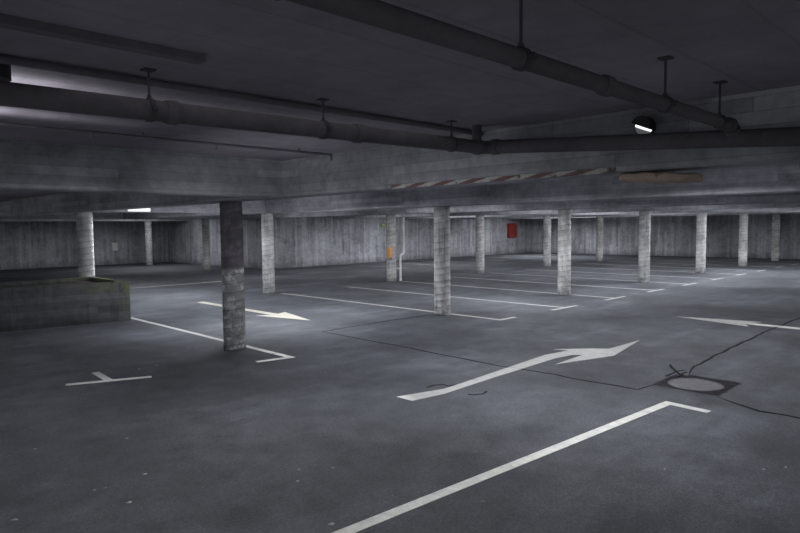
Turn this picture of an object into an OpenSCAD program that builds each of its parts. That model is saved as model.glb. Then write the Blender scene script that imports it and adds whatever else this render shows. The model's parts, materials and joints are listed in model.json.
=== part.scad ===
// One storey of a concrete car park, with its floor, columns, beams, roof slab and fittings.
// All sizes are in millimetres, Z is up and the origin is under the middle of the floor slab.
// Places in plan are measured from the corner column, where both first column lines cross.

/* [Plan] */
// Distance between column lines along the building
bay = 5240; // [4800:20:5250]
// First row of columns behind the main aisle
row_a = 9280; // [9000:20:9600]
// Second row of columns
row_b = 16400; // [16200:20:17000]
// Row of columns at the near open side, in front of the corner column
row_edge = -2000; // [-2100:20:-1600]
// Inner face of the long back wall
back_face = 26000; // [25600:50:26400]
// Inner face of the wall that closes the wing
wing_face = 36950; // [36000:50:37000]
// How far the wing's side wall stands past the fourth column line
wing_room = 780; // [600:20:900]
// Room between the last column line and the right end wall
end_room = 2270; // [1800:10:2270]
// Gap between the edge columns and the guard walls
guard_gap = 65; // [30:5:80]

/* [Structure] */
// Thickness of the floor slab
floor_thick = 300; // [200:10:350]
// Thickness of the asphalt on the floor slab
asphalt_thick = 40; // [30:5:60]
// Clear height under the roof slab
clear_height = 2950; // [2800:10:3100]
// Clear height under the beams
beam_clear = 2440; // [2300:10:2500]
// Thickness of the roof slab
roof_thick = 280; // [200:10:350]
// Diameter of a round column
column_dia = 370; // [300:10:400]
// Width of a beam
beam_wide = 370; // [340:10:400]
// Chamfer along a beam's lower edges
beam_chamfer = 15; // [5:1:25]
// Near face of the deep beam that spans the main aisle on the left
left_beam_face = 7500; // [7300:20:7800]
// Thickness of the outer walls
wall_thick = 250; // [200:10:250]
// Height of the guard wall at the open sides
guard_high = 1000; // [900:50:1200]
// Thickness of the guard wall
guard_thick = 150; // [120:10:160]
// Height of the upstand round the edge of the roof
upstand_high = 150; // [100:10:300]

/* [Planter] */
// Height of the planter's walls above the asphalt
planter_high = 860; // [700:20:1000]
// Thickness of the planter's walls
planter_thick = 150; // [100:10:200]
// Left side of the planter
planter_left = 600; // [400:50:1200]
// How far the planter's right side stands past the second column line
planter_past = 50; // [0:10:150]
// Gap between the planter and the second row's column line
planter_gap = 360; // [300:10:500]
// Depth of the planter at its right side
planter_deep = 2200; // [2000:20:2500]
// How far the planter's front falls back over its length
planter_skew = 760; // [0:20:900]
// Level of the soil below the planter's rim
soil_drop = 60; // [30:5:150]

/* [Drain] */
// Outer diameter of the main drain pipe
drain_dia = 125; // [100:5:140]
// Fall of the main run for each metre
drain_fall = 12; // [5:1:25]
// Distance of the main run from the corner column line
drain_y = 3720; // [3500:20:3900]
// Distance of the drain pipe from the face of the deep beam
drain_gap = 215; // [180:5:260]
// Distance of the drain pipe's bend below the roof slab
drain_drop = 202; // [190:2:240]
// Angle at which the drain pipe falls along the deep beam
drain_tilt = 4; // [2:0.5:5]
// Radius of the drain pipe's bends
bend_r = 110; // [90:5:150]
// Outer diameter of the branch pipe
branch_dia = 80; // [70:5:90]
// Distance of the branch pipe from the corner column line
branch_y = 1500; // [1300:20:1700]
// Height of the branch pipe above the drain pipe that it joins
branch_rise = 84; // [80:1:100]
// Diameter of the inlet from the roof at the drain pipe's bend
inlet_dia = 90; // [70:5:100]

/* [Other pipes] */
// Outer diameter of the lamps' conduit behind the main drain run
conduit_dia = 46; // [32:2:60]
// Distance of the conduit from the main drain run
conduit_gap = 210; // [180:5:260]
// Gap between the conduit and the roof slab
conduit_room = 3; // [2:1:10]
// Diameter of the thin pipe with the small heads
sprinkler_dia = 28; // [20:2:34]
// Distance of the thin pipe below the roof slab
sprinkler_drop = 45; // [35:5:90]
// Distance of the thin pipe in front of the left deep beam
sprinkler_gap = 1340; // [1200:20:1500]
// Outer diameter of the downpipe beside a column
downpipe_dia = 90; // [70:5:110]
// Gap between the downpipe and the column's line
downpipe_gap = 45; // [30:5:80]
// Height of the middle of the downpipe's offset above the asphalt
offset_high = 980; // [800:20:1200]
// Radius of the downpipe's offset bends
offset_r = 90; // [80:5:110]

/* [Lamps] */
// Distance of a lamp's middle below the roof slab
lamp_drop = 160; // [130:5:180]
// Diameter of a round lamp
lamp_dia = 165; // [140:5:180]
// Thickness of a lamp's dark base
lamp_base = 30; // [20:2:40]
// How far the lamp's half hood stands out from its base
hood_out = 80; // [60:5:90]
// Distance of the lamps on the beams from the corner column line
lamp_y = 2240; // [2200:10:2400]
// Length of the straight lamp on the beam
batten_long = 600; // [500:20:700]

/* [Fittings] */
// Length of the flat trunking on the ceiling
tray_long = 1490; // [1300:10:1600]
// Width of the flat trunking
tray_wide = 80; // [60:5:100]
// Height of the flat trunking
tray_high = 40; // [30:5:60]
// Side of the square manhole frame
manhole_side = 780; // [700:10:900]
// Diameter of the manhole cover
cover_dia = 640; // [560:10:660]
// Height of the striped strip on the deep beam
strip_high = 46; // [40:2:60]
// Length of the striped strip
strip_long = 2750; // [2400:50:3000]
// Place of the striped strip's near end
strip_start = 2500; // [2450:10:2600]
// Length of the yellow pad's straight part
pad_long = 500; // [400:20:600]
// Width of the yellow pad under the beam
pad_wide = 310; // [240:10:350]
// Thickness of the yellow pad under the beam
pad_thick = 100; // [60:2:110]

/* [Road marks] */
// Width of a painted line
line_wide = 100; // [80:5:130]
// Thickness of the road paint
paint_thick = 3; // [2:0.5:4]
// Place of the ends of the bay lines, where their ticks are
ticks_y = 7820; // [7700:10:7900]
// Length of a tick
tick_long = 1100; // [900:20:1200]
// Length of the bar of the T mark
tee_long = 980; // [800:20:1200]
// Distance of the first bay line past its column line
first_line = 200; // [150:5:260]
// Length of a straight arrow
arrow_long = 5050; // [4800:50:5400]
// Length of the bent arrow
bent_long = 5360; // [5000:20:5600]

/* [Hidden] */
$fn = 48;
half = beam_wide / 2;
end_face = 7 * bay + end_room;
wing_side = 3 * bay + wing_room;
low_x = -(column_dia / 2 + guard_gap + guard_thick);
high_x = end_face + wall_thick;
low_y = row_edge + low_x;
high_y = wing_face + wall_thick;
wing_x = wing_side + wall_thick;
hall_y = back_face + wall_thick;
mid_x = (low_x + high_x) / 2;
mid_y = (low_y + high_y) / 2;
asphalt_top = floor_thick + asphalt_thick;
soffit = asphalt_top + clear_height;
beam_base = asphalt_top + beam_clear;
roof_top = soffit + roof_thick;
deep_face = bay - half;
// Places of the wing's two rows of columns and of its inner column line
row_1_room = 1600;
row_2_room = 2750;
line_room = 2300;
wing_row_1 = back_face + row_1_room;
wing_row_2 = wing_face - row_2_room;
wing_line = wing_side - line_room;
// Clearance round a pipe in its clamp and between pieces that nearly touch
seat = 0.3;
clamp_gap = 0.9;
// Socket of a pipe joint: how far it stands out, its length, and how far it reaches back
// over the end of a bend
hub_out = 11;
hub_long = 70;
hub_back = 12;
// The drain pipe's places: its line along the deep beam and its two drops to the floor
drain_x = deep_face - drain_gap;
drain_z = soffit - drain_drop;
drop_gap = 260;
drop_x = half + drop_gap;
drop_y = row_edge + half + drop_gap;
main_tilt = atan(drain_fall / 1000);
main_long = drain_x - drop_x - 2 * bend_r + bend_r * sin(main_tilt);
side_long = drain_y - drop_y - 2 * bend_r + bend_r * sin(drain_tilt);
main_low = drain_z - main_long * tan(main_tilt) - bend_r * cos(main_tilt);
side_low = drain_z - side_long * tan(drain_tilt) - bend_r * cos(drain_tilt);
joint_spacing = 1500;
// The branch pipe's places: its level, its bend and the socket that takes it
branch_r = 60;
branch_foot = drain_z - (drain_y - bend_r - branch_y) * tan(drain_tilt);
branch_z = branch_foot + branch_rise;
branch_step = branch_rise - branch_r * (1 - cos(45));
branch_end = drain_x - branch_step - branch_r * sin(45);
pipe_end_gap = 65;
// Distances of the hangers from a pipe's bend
main_hangers = [390, 1850, 3150];
branch_hangers = [210, 1100, 2540, 3730];
rod_dia = 14;
strap = 8;
strap_wide = 30;
// Wall and slant of a lamp's hood, and the place of the lamp under the slab at the left
hood_wall = 6;
hood_turn = 24;
left_lamp_past = 675;
left_lamp_gap = 25;
conduit_y = drain_y + conduit_gap;
left_lamp_x = half + left_lamp_past;
left_lamp_y = conduit_y + conduit_dia / 2 + left_lamp_gap + lamp_dia / 2;
tray_gap = 520;
tray_y = drain_y - tray_gap;
manhole_past = 100;
manhole_x = 1.5 * bay + manhole_past;
manhole_y = 2850;
batten_past = 960;
batten_x = bay + batten_past;
batten_high = 120;
batten_back = 25;
batten_deep = 50;
// Ends of the bay lines before the second row's beam
line_gap = 200;
line_end = row_b - half - line_gap;
// Tails of the bent arrow and of the two straight ones
bent_back = 235;
bent_y = 5030;
lane_past = 70;
lane_gap = 550;
right_past = 300;
right_y = 250;

// A block given by its low and high corners
module block(x0, y0, z0, x1, y1, z1) {
    translate([x0, y0, z0]) cube([x1 - x0, y1 - y0, z1 - z0]);
}

// The whole plan in one flat outline, an L with the wing at the far left
module outline(inset) {
    polygon([[low_x + inset, low_y + inset], [high_x - inset, low_y + inset],
        [high_x - inset, hall_y - inset], [wing_x - inset, hall_y - inset],
        [wing_x - inset, high_y - inset], [low_x + inset, high_y - inset]]);
}

// A beam's section below the roof slab, with its two lower edges chamfered
module beam_section() {
    deep = soffit - beam_base;
    c = beam_chamfer;
    polygon([[c - half, 0], [half - c, 0], [half, c], [half, deep], [-half, deep], [-half, c]]);
}

module beam_along_x(x0, x1, y) {
    translate([x0, y, beam_base]) rotate([90, 0, 90]) linear_extrude(x1 - x0) beam_section();
}

module beam_along_y(x, y0, y1) {
    translate([x, y1, beam_base]) rotate([90, 0, 0]) linear_extrude(y1 - y0) beam_section();
}

module column(x, y) {
    translate([x, y, asphalt_top]) cylinder(d = column_dia, h = beam_clear);
}

// A pipe that hangs level along X from one place to another
module pipe_x(x0, x1, y, z, dia) {
    translate([x0, y, z]) rotate([0, 90, 0]) cylinder(d = dia, h = x1 - x0);
}

// The socket at a pipe joint, with its far lip turned down to the pipe
module hub(dia) {
    straight = hub_long * 2 / 3;
    translate([0, 0, -hub_back]) {
        cylinder(d = dia + 2 * hub_out, h = straight);
        translate([0, 0, straight])
            cylinder(d1 = dia + 2 * hub_out, d2 = dia + hub_out, h = hub_long - straight);
    }
}

// A bend in the XZ plane round the origin, from a pipe that falls to the left at an angle
// down to an upright one
module down_bend(tilt) {
    rotate([90, 0, 0]) rotate([0, 0, 90 + tilt]) rotate_extrude(angle = 90 - tilt)
        translate([bend_r, 0]) circle(d = drain_dia);
}

module floor_slab() {
    color("gray") linear_extrude(floor_thick) outline(0);
}

module asphalt() {
    color("dimgray") translate([0, 0, floor_thick]) difference() {
        linear_extrude(asphalt_thick) polygon([
            [low_x + guard_thick, low_y + guard_thick], [end_face, low_y + guard_thick],
            [end_face, back_face], [wing_side, back_face],
            [wing_side, wing_face], [low_x + guard_thick, wing_face]]);
        translate([manhole_x - manhole_side / 2, manhole_y - manhole_side / 2, -1])
            cube([manhole_side, manhole_side, asphalt_thick + 2]);
    }
}

module roof_slab() {
    color("silver") translate([0, 0, soffit]) linear_extrude(roof_thick) outline(0);
}

module roof_upstand() {
    color("silver") translate([0, 0, roof_top]) linear_extrude(upstand_high) difference() {
        outline(0);
        outline(guard_thick);
    }
}

// Beams over the two open sides, joined at the corner column
module edge_beams() {
    color("silver") union() {
        beam_along_y(0, row_edge - half, wing_face);
        beam_along_x(-half, end_face, row_edge);
    }
}

// The beam on the second column line, which carries the striped strip over the aisle
module deep_beam() {
    color("silver") beam_along_y(bay, row_edge + half, wing_row_1 - half);
}

module left_beam() {
    color("silver") beam_along_x(half, bay - half, left_beam_face + half);
}

// The beams that end at the wing's first row, or at the back wall past the wing
module cross_beams() {
    color("silver") for (k = [2:7])
        beam_along_y(k * bay, row_edge + half, k < 4 ? wing_row_1 - half : back_face);
}

module row_beam() {
    color("silver") beam_along_x(bay + half, 2 * bay - half, row_b);
}

module wing_beams() {
    color("silver") for (y = [wing_row_1, wing_row_2]) beam_along_x(half, wing_side, y);
}

module columns_near_edge() {
    color("lightgray") for (k = [0:7]) column(k * bay, row_edge);
}

module columns_left_edge() {
    color("lightgray") for (y = [left_beam_face + half, row_b, wing_row_1, wing_row_2]) column(0, y);
}

module columns_row_a() {
    color("lightgray") for (k = [1:7]) column(k * bay, row_a);
}

module columns_row_b() {
    color("lightgray") for (k = [1:7]) column(k * bay, row_b);
}

module columns_wing() {
    color("lightgray") for (y = [wing_row_1, wing_row_2], x = [bay, wing_line]) column(x, y);
}

module wall_back() {
    color("gray") block(wing_side, back_face, floor_thick, high_x, hall_y, soffit);
}

module wall_wing_side() {
    color("gray") block(wing_side, hall_y, floor_thick, wing_x, high_y, soffit);
}

module wall_wing_end() {
    color("gray") block(low_x, wing_face, floor_thick, wing_side, high_y, soffit);
}

module wall_right_end() {
    color("gray") block(end_face, low_y, floor_thick, high_x, back_face, soffit);
}

// Low walls at the open sides, with a gap where cars drive in
module guard_walls() {
    top = asphalt_top + guard_high;
    color("gray") {
        block(low_x, low_y, floor_thick, low_x + guard_thick, wing_face, top);
        block(low_x + guard_thick, low_y, floor_thick, bay + half, low_y + guard_thick, top);
        block(2 * bay - half, low_y, floor_thick, end_face, low_y + guard_thick, top);
    }
}

// The planter's outline in plan, with a front that falls back towards the left
module planter_outline(inset) {
    right = bay + planter_past;
    back = row_b - planter_gap;
    front = back - planter_deep;
    lean = inset * planter_skew / (right - planter_left);
    polygon([[right - inset, front + inset + lean], [right - inset, back - inset],
        [planter_left + inset, back - inset],
        [planter_left + inset, front + planter_skew + inset - lean]]);
}

module planter() {
    color("gray") translate([0, 0, asphalt_top]) linear_extrude(planter_high) difference() {
        planter_outline(0);
        planter_outline(planter_thick);
    }
}

module soil() {
    color("sienna") translate([0, 0, asphalt_top]) linear_extrude(planter_high - soil_drop)
        planter_outline(planter_thick);
}

// The drain pipe: a main run and a run along the deep beam, which meet at a bend high under
// the slab, fall away from it and drop to the floor through bends of their own
module drain_pipe() {
    color("slategray") union() {
        // main run, with the roof's inlet over its first socket
        translate([drain_x - bend_r, drain_y, drain_z]) {
            rotate([0, -90 - main_tilt, 0]) {
                cylinder(d = drain_dia, h = main_long / cos(main_tilt));
                for (k = [0:2]) translate([0, 0, k * joint_spacing]) hub(drain_dia);
            }
            translate([hub_back - hub_long / 2, 0, 0]) cylinder(d = inlet_dia, h = drain_drop);
        }
        // bend between the two runs
        translate([drain_x - bend_r, drain_y - bend_r, drain_z]) rotate_extrude(angle = 90)
            translate([bend_r, 0]) circle(d = drain_dia);
        // run along the beam
        translate([drain_x, drain_y - bend_r, drain_z]) rotate([90 + drain_tilt, 0, 0]) {
            cylinder(d = drain_dia, h = side_long / cos(drain_tilt));
            for (k = [0, 2]) translate([0, 0, k * joint_spacing]) hub(drain_dia);
        }
        // slanted socket that takes the branch pipe
        translate([drain_x, branch_y, branch_foot]) rotate([0, -45, 0])
            cylinder(d = branch_dia + 2 * hub_out, h = branch_step / sin(45));
        // bends down to the floor, each with its drop and its sockets
        translate([drop_x, drain_y, main_low]) drop(main_tilt, main_low - asphalt_top);
        translate([drain_x, drop_y, side_low]) rotate([0, 0, 90])
            drop(drain_tilt, side_low - asphalt_top);
    }
}

// A drop of a given length to the floor, under the bend that turns a run's fall down to it
module drop(tilt, long) {
    translate([bend_r, 0, 0]) {
        down_bend(tilt);
        translate([-bend_r * sin(tilt), 0, bend_r * cos(tilt)]) rotate([0, 90 - tilt, 0]) hub(drain_dia);
    }
    rotate([180, 0, 0]) hub(drain_dia);
    translate([0, 0, -long]) {
        cylinder(d = drain_dia, h = long);
        cylinder(d = drain_dia + 3 * hub_out, h = hub_out);
        translate([0, 0, hub_back]) hub(drain_dia);
    }
}

// The smaller pipe, level along X, that turns down into the drain pipe's slanted socket
module branch_pipe() {
    start = half + pipe_end_gap;
    color("slategray") union() {
        pipe_x(start, branch_end, branch_y, branch_z, branch_dia);
        translate([start, branch_y, branch_z]) rotate([0, 90, 0]) hub(branch_dia);
        for (s = [0, 1.2 * joint_spacing]) translate([branch_end - s, branch_y, branch_z])
            rotate([0, -90, 0]) hub(branch_dia);
        translate([branch_end, branch_y, branch_z - branch_r]) rotate([90, 0, 0])
            rotate([0, 0, 45]) rotate_extrude(angle = 45) translate([branch_r, 0]) circle(d = branch_dia);
    }
}

// A clamp of two halves with bolted ears, on a rod with a nut under a plate on the slab
module hanger(x, y, z, dia) {
    outer = dia / 2 + strap;
    ear = 26;
    rise = soffit - z;
    translate([x, y, z]) {
        rotate([0, 90, 0]) translate([0, 0, -strap_wide / 2]) difference() {
            union() {
                cylinder(d = 2 * outer, h = strap_wide);
                translate([-strap, -outer - ear, 0]) cube([2 * strap, 2 * (outer + ear), strap_wide]);
            }
            translate([0, 0, -1]) cylinder(d = dia + 2 * clamp_gap, h = strap_wide + 2);
        }
        for (side = [-1, 1]) translate([0, side * (outer + ear / 2), -2 * strap])
            cylinder(d = rod_dia, h = 4 * strap, $fn = 6);
        translate([0, 0, outer - strap / 2]) cylinder(d = rod_dia, h = rise - outer + strap / 2);
        translate([0, 0, outer]) cylinder(d = 2 * rod_dia, h = rod_dia, $fn = 6);
        translate([-2.5 * rod_dia, -2.5 * rod_dia, rise - strap])
            cube([5 * rod_dia, 5 * rod_dia, strap]);
    }
}

module pipe_hangers() {
    color("darkgray") {
        for (s = main_hangers)
            hanger(drain_x - bend_r - s, drain_y, drain_z - s * drain_fall / 1000, drain_dia);
        for (s = branch_hangers) hanger(branch_end - s, branch_y, branch_z, branch_dia);
    }
}

// The lamps' conduit behind the main drain run, from beam to beam, close under the slab
module lamp_conduit() {
    z = soffit - conduit_room - conduit_dia / 2;
    long = deep_face - half;
    color("dimgray") union() {
        pipe_x(half, deep_face, conduit_y, z, conduit_dia);
        for (s = [0.12, 0.44, 0.76]) translate([half + s * long, conduit_y, z])
            cylinder(d = rod_dia, h = soffit - z);
    }
}

// The thin pipe with its small pendant heads and its turned-down end
module sprinkler_pipe() {
    y = left_beam_face - sprinkler_gap;
    z = soffit - sprinkler_drop;
    end = deep_face - 6 * sprinkler_dia;
    color("dimgray") union() {
        pipe_x(half, end, y, z, sprinkler_dia);
        translate([end, y, z]) sphere(d = 1.2 * sprinkler_dia);
        translate([end, y, z - 2.5 * sprinkler_dia]) cylinder(d = sprinkler_dia, h = 2.5 * sprinkler_dia);
        for (s = [0.42, 0.68]) translate([s * end, y, z]) {
            translate([0, 0, -1.6 * sprinkler_dia]) cylinder(d = sprinkler_dia / 2, h = 1.6 * sprinkler_dia);
            translate([0, 0, -1.9 * sprinkler_dia]) cylinder(d = 1.3 * sprinkler_dia, h = sprinkler_dia / 3);
        }
        for (s = [0.18, 0.52, 0.9]) translate([s * end, y, z])
            cylinder(d = rod_dia, h = sprinkler_drop);
    }
}

// Flat trunking on the ceiling, a folded channel that opens towards the slab
module cable_tray() {
    wall = 3;
    color("darkslategray") difference() {
        block(half, tray_y, soffit - tray_high, half + tray_long, tray_y + tray_wide, soffit);
        block(half - 1, tray_y + wall, soffit - tray_high + wall,
            half + tray_long - wall, tray_y + tray_wide - wall, soffit + 1);
    }
}

// The downpipe with its offset, clipped to a column of the second row
module downpipe() {
    dx = half + downpipe_gap + downpipe_dia / 2;
    dy = -half;
    mid = asphalt_top + offset_high;
    low_top = mid - offset_r;
    high_start = mid + offset_r;
    column_x = 3 * bay;
    span = norm([dx, dy]) - column_dia / 2 - seat;
    color("gainsboro") union() {
        translate([column_x + dx, row_b + dy, 0]) {
            translate([0, 0, asphalt_top]) cylinder(d = downpipe_dia, h = low_top - asphalt_top);
            translate([0, 0, asphalt_top + hub_back]) hub(downpipe_dia);
            translate([offset_r, 0, low_top]) rotate([90, 0, 180]) rotate_extrude(angle = 90)
                translate([offset_r, 0]) circle(d = downpipe_dia);
            translate([offset_r, 0, high_start]) rotate([90, 0, 0]) rotate([0, 0, -90])
                rotate_extrude(angle = 90) translate([offset_r, 0]) circle(d = downpipe_dia);
            translate([2 * offset_r, 0, high_start])
                cylinder(d = downpipe_dia, h = soffit - high_start);
            translate([2 * offset_r, 0, high_start]) hub(downpipe_dia);
            translate([2 * offset_r, 0, soffit - hub_back]) rotate([180, 0, 0]) hub(downpipe_dia);
        }
        // clip on the lower part, with its arm to the column
        translate([column_x, row_b, (asphalt_top + low_top) / 2]) rotate([0, 0, atan2(dy, dx)]) {
            translate([column_dia / 2 + seat, -strap, 0]) cube([span, 2 * strap, strap_wide]);
            translate([norm([dx, dy]), 0, 0]) cylinder(d = downpipe_dia + 2 * strap, h = strap_wide);
        }
    }
}

// A round base with a hood over the upper half of its glass, standing on its back
module lamp_housing() {
    cylinder(d = lamp_dia, h = lamp_base);
    rotate([0, 0, -90]) {
        rotate_extrude(angle = 180) translate([lamp_dia / 2 - hood_wall, 0])
            square([hood_wall, lamp_base + hood_out]);
        rotate_extrude(angle = 180) translate([0, lamp_base + hood_out - hood_wall])
            square([lamp_dia / 2, hood_wall]);
    }
}

// The opal glass, a bowl that fits inside the hood with a gap all round
module lamp_bowl() {
    wide = lamp_dia - 4 * hood_wall;
    deep = hood_out * 0.4;
    translate([0, 0, lamp_base]) {
        cylinder(d1 = wide, d2 = wide * 0.88, h = deep);
        translate([0, 0, deep]) cylinder(d1 = wide * 0.88, d2 = wide * 0.5, h = hood_out * 0.45);
    }
}

// One lamp on the near face of each beam over the aisle, and one under the slab at the left
module at_lamps() {
    for (k = [1:7]) translate([k * bay - half, lamp_y, soffit - lamp_drop])
        rotate([0, -90, 0]) rotate([0, 0, -hood_turn]) children();
    translate([left_lamp_x, left_lamp_y, soffit]) rotate([180, 0, 0]) children();
}

module lamp_housings() {
    color("dimgray") at_lamps() lamp_housing();
}

module lamp_glasses() {
    color("ivory") at_lamps() lamp_bowl();
}

// The straight lamp on the beam of the second row: its back, and its cover in front
module batten_lamp() {
    y = row_b - half;
    z = beam_base + beam_chamfer;
    color("white") block(batten_x, y - batten_back, z, batten_x + batten_long, y, z + batten_high);
}

module batten_glass() {
    y = row_b - half - batten_back;
    z = beam_base + beam_chamfer;
    lip = 8;
    color("ivory") block(batten_x + lip, y - batten_deep, z + lip,
        batten_x + batten_long - lip, y, z + batten_high - lip);
}

// The square iron frame round the cover, with a ledge that the cover sits on
module manhole_frame() {
    ledge = asphalt_thick * 0.4;
    color("black") translate([manhole_x, manhole_y, floor_thick]) difference() {
        translate([-manhole_side / 2, -manhole_side / 2, 0])
            cube([manhole_side, manhole_side, asphalt_thick]);
        translate([0, 0, ledge]) cylinder(d = cover_dia, h = asphalt_thick);
        translate([0, 0, -1]) cylinder(d = cover_dia * 0.88, h = asphalt_thick);
    }
}

// The round cover, with a narrow ring groove and two slots for lifting keys
module manhole_cover() {
    ledge = asphalt_thick * 0.4;
    thick = asphalt_thick - ledge;
    groove = 6;
    rim = cover_dia / 2 - 25;
    color("dimgray") translate([manhole_x, manhole_y, floor_thick + ledge]) difference() {
        cylinder(d = cover_dia - 2 * groove, h = thick);
        translate([0, 0, thick - groove]) difference() {
            cylinder(r = rim, h = 2 * groove);
            translate([0, 0, -1]) cylinder(r = rim - groove, h = 2 * groove + 2);
        }
        for (side = [-1, 1]) translate([side * rim * 0.75 - 2 * groove, -5 * groove, thick / 2])
            cube([4 * groove, 10 * groove, thick]);
    }
}

// The striped strip along the lower edge of the deep beam
module warning_strip() {
    thick = 12;
    color("red") block(deep_face - thick, strip_start, beam_base,
        deep_face, strip_start + strip_long, beam_base + strip_high);
}

// The yellow pad under the beam that ends the striped strip, rounded at its far end in plan
module warning_pad() {
    out = 14;
    start = strip_start - 5;
    color("gold") translate([deep_face - out, 0, beam_base - pad_thick]) union() {
        translate([0, start - pad_long, 0]) cube([pad_wide, pad_long, pad_thick]);
        intersection() {
            translate([pad_wide / 2, start - pad_long, 0]) cylinder(d = pad_wide, h = pad_thick);
            translate([0, start - pad_long - pad_wide, 0]) cube([pad_wide, pad_wide, pad_thick]);
        }
    }
}

module exit_sign() {
    x = 4 * bay + 3130;
    z = asphalt_top + 2000;
    color("green") block(x, back_face - 60, z, x + 400, back_face, z + 200);
}

// The orange call box, held to a column of the second row by its curved back
module call_box() {
    x = 3 * bay - column_dia / 2;
    y = row_b - column_dia / 2;
    color("orange") difference() {
        block(x - 85, y, asphalt_top + 880, x + 65, y + 130, asphalt_top + 1260);
        translate([3 * bay, row_b, asphalt_top]) cylinder(d = column_dia + 2 * seat, h = beam_clear);
    }
}

module hose_cabinet() {
    x = 7 * bay - 380;
    z = asphalt_top + 1150;
    color("darkred") block(x, back_face - 160, z, x + 1000, back_face, z + 1000);
}

module switch_box() {
    x = wing_line - 1000;
    z = asphalt_top + 800;
    color("white") block(x, wing_face - 100, z, x + 300, wing_face, z + 450);
}

// A flat strip for the road marks, at an angle to X; it starts half a width behind its place,
// so that two strips from the same place make a full corner
module mark(x, y, turn, long) {
    translate([x, y]) rotate(turn) translate([-line_wide / 2, -line_wide / 2])
        square([long + line_wide / 2, line_wide]);
}

// The line in front, the T mark and corner mark of the left bays, and a row of bays with ticks
module bay_lines() {
    near_x = bay + 1670;
    near_y = 2764;
    near_long = 5020;
    left_line = bay + first_line;
    tee_x = left_line - 2500;
    tee_y = ticks_y + 670;
    color("white") translate([0, 0, asphalt_top]) linear_extrude(paint_thick) {
        union() {
            mark(near_x, near_y, 175.9, near_long);
            mark(near_x, near_y, -95, 450);
        }
        union() {
            mark(left_line, ticks_y + 130, 90, line_end - ticks_y - 130);
            mark(left_line, ticks_y + 130, 169, tick_long / 2);
        }
        union() {
            mark(tee_x - 0.44 * tee_long, tee_y + 0.18 * tee_long, -22, tee_long);
            mark(tee_x, tee_y, 87, 650);
        }
        difference() {
            for (n = [0:10]) bay_line(2 * bay + first_line + n * bay / 2, n > 0 ? tick_long / 2 : 0);
            for (k = [2:7]) translate([k * bay, row_a]) circle(d = column_dia + 2 * seat);
        }
        for (n = [4:10]) mark(2 * bay + first_line + n * bay / 2, back_face - 5000, 90, 4950);
        mark(1.5 * bay + 450, row_b + 5030, 0, 3700);
    }
}

module bay_line(x, left) {
    mark(x, ticks_y, 90, line_end - ticks_y);
    mark(x - left, ticks_y, 0, left + tick_long / 2);
}

// A straight arrow along X from its tail, drawn in hundredths of its length
module straight_arrow() {
    translate([0, 0, asphalt_top]) linear_extrude(paint_thick) scale(arrow_long / 100)
        polygon([[0, -2], [72, -2], [69, -7.8], [100, 0], [69, 7.8], [72, 2], [0, 2]]);
}

// The bent arrow of the near aisle from its tail, drawn in hundredths of its length
module bent_arrow() {
    translate([0, 0, asphalt_top]) linear_extrude(paint_thick) scale(bent_long / 100)
        polygon([[0, -2.4], [9.2, -3.7], [27.6, -2.7], [57.9, -1.9], [65.3, -3], [67.1, -5.2],
            [51.3, -5.9], [72.1, -12.2], [100, -7.1], [80.4, -6.5], [77.4, -2.5], [68.6, 5.5],
            [70, 1], [60, 2.7], [15.6, -0.7], [11.9, -0.8], [0, 2.4]]);
}

module arrows() {
    color("white") {
        translate([bay - bent_back, bent_y, 0]) bent_arrow();
        translate([1.5 * bay + lane_past, row_b - lane_gap, 0]) rotate([0, 0, -90]) straight_arrow();
        translate([2.5 * bay + right_past, right_y, 0]) rotate([0, 0, 88]) straight_arrow();
    }
}

// Move the plan so that the middle of the floor slab is over the origin
module place() {
    translate([-mid_x, -mid_y, 0]) children();
}

place() floor_slab();
place() asphalt();
place() roof_slab();
place() roof_upstand();
place() edge_beams();
place() deep_beam();
place() left_beam();
place() cross_beams();
place() row_beam();
place() wing_beams();
place() columns_near_edge();
place() columns_left_edge();
place() columns_row_a();
place() columns_row_b();
place() columns_wing();
place() wall_back();
place() wall_wing_side();
place() wall_wing_end();
place() wall_right_end();
place() guard_walls();
place() planter();
place() soil();
place() drain_pipe();
place() branch_pipe();
place() pipe_hangers();
place() lamp_conduit();
place() sprinkler_pipe();
place() cable_tray();
place() downpipe();
place() lamp_housings();
place() lamp_glasses();
place() batten_lamp();
place() batten_glass();
place() manhole_frame();
place() manhole_cover();
place() warning_strip();
place() warning_pad();
place() exit_sign();
place() call_box();
place() hose_cabinet();
place() switch_box();
place() bay_lines();
place() arrows();
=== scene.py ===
# %% [markdown]
# # Car park storey
# This lesson dresses one storey of a concrete car park. The construction comes in as the frame: slabs,
# beams, columns, walls, pipes and lamps at their true size. Here they get their finishes, and the parts
# with finer relief are built as numpy surfaces.

# %% Frame
import json
import math
from functools import partialmethod
import bmesh
import bpy
import numpy as np
from mathutils import Matrix, Vector


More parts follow.
